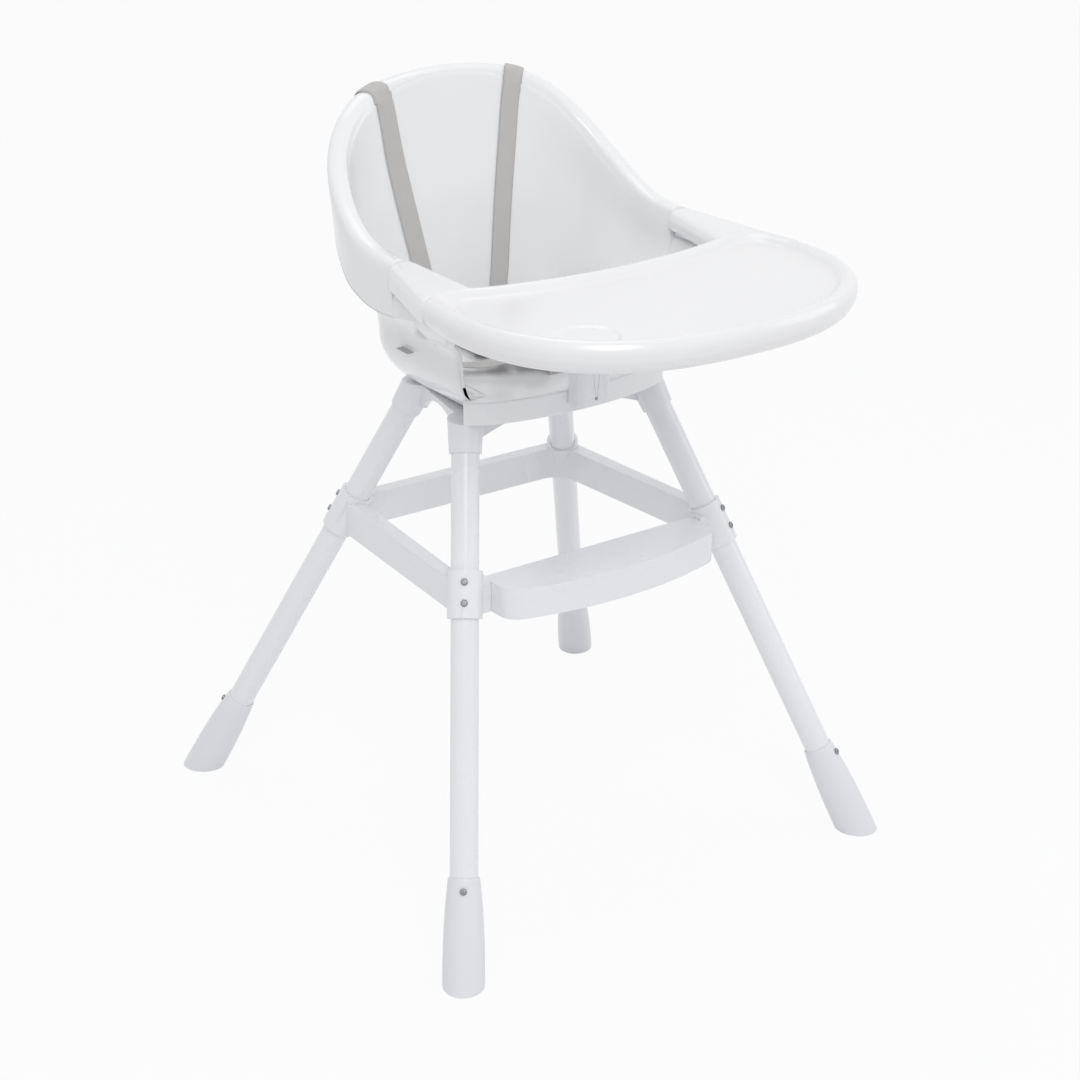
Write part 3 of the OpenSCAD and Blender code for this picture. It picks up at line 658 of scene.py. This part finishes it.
def make_stage():
    bpy.ops.mesh.primitive_plane_add(size=FLOOR_SIZE, location=(0, 0, 0))
    floor = bpy.context.object
    floor.name = "floor"
    mat = bpy.data.materials.new("floor_white")
    mat.use_nodes = True
    tree = mat.node_tree
    tree.nodes.clear()
    out = tree.nodes.new("ShaderNodeOutputMaterial")
    diffuse = tree.nodes.new("ShaderNodeBsdfDiffuse")
    diffuse.inputs["Color"].default_value = (0.85, 0.85, 0.86, 1)
    glow = tree.nodes.new("ShaderNodeEmission")
    blend = tree.nodes.new("ShaderNodeMixShader")
    share = tree.nodes.new("ShaderNodeMath")
    share.operation = "MULTIPLY"
    share.inputs[1].default_value = FLOOR_WHITE_SHARE
    tree.links.new(backdrop_share(tree), share.inputs[0])
    tree.links.new(share.outputs[0], blend.inputs["Fac"])
    tree.links.new(diffuse.outputs[0], blend.inputs[1])
    tree.links.new(glow.outputs[0], blend.inputs[2])
    tree.links.new(blend.outputs[0], out.inputs["Surface"])
    floor.data.materials.append(mat)

    world = bpy.data.worlds.new("studio")
    bpy.context.scene.world = world
    world.use_nodes = True
    tree = world.node_tree
    tree.nodes.clear()
    out = tree.nodes.new("ShaderNodeOutputWorld")
    soft = tree.nodes.new("ShaderNodeBackground")
    soft.inputs["Color"].default_value = (0.98, 0.985, 1.0, 1)
    soft.inputs["Strength"].default_value = WORLD_STRENGTH
    white = tree.nodes.new("ShaderNodeBackground")
    white.inputs["Strength"].default_value = 1.0
    white.inputs["Color"].default_value = (1, 1, 1, 1)
    blend = tree.nodes.new("ShaderNodeMixShader")
    tree.links.new(backdrop_share(tree), blend.inputs["Fac"])
    tree.links.new(soft.outputs[0], blend.inputs[1])
    tree.links.new(white.outputs[0], blend.inputs[2])
    tree.links.new(blend.outputs[0], out.inputs["Surface"])

    area_light("key", (-1.2, -2.2, 2.9), (0, 0, 0.55), 1.8, 30)
    area_light("fill", (2.6, -1.6, 1.6), (0, 0, 0.5), 2.0, 9)
    area_light("top", (0.3, 0.8, 3.0), (0, 0, 0.6), 1.6, 7)


# The photo's camera, fitted to the chair: place in the chair's own sizes, lens and sensor, tilt down and turn
CAMERA_PLACE = (-1374.1, -1997.7, 1421.6)
CAMERA_LENS = 72.5
CAMERA_SENSOR = 36
CAMERA_DOWN = 23.76
CAMERA_TURN = -35


def make_camera():
    data = bpy.data.cameras.new("camera")
    data.sensor_width = CAMERA_SENSOR
    data.lens = CAMERA_LENS
    cam = bpy.data.objects.new("camera", data)
    cam.location = metres(CAMERA_PLACE)
    cam.rotation_euler = (math.radians(90 - CAMERA_DOWN), 0, math.radians(CAMERA_TURN))
    bpy.context.scene.collection.objects.link(cam)
    bpy.context.scene.camera = cam


make_seat()
make_tray()
make_harness()
dress_cad()
make_stage()
make_camera()
bpy.context.scene.view_settings.view_transform = "Standard"
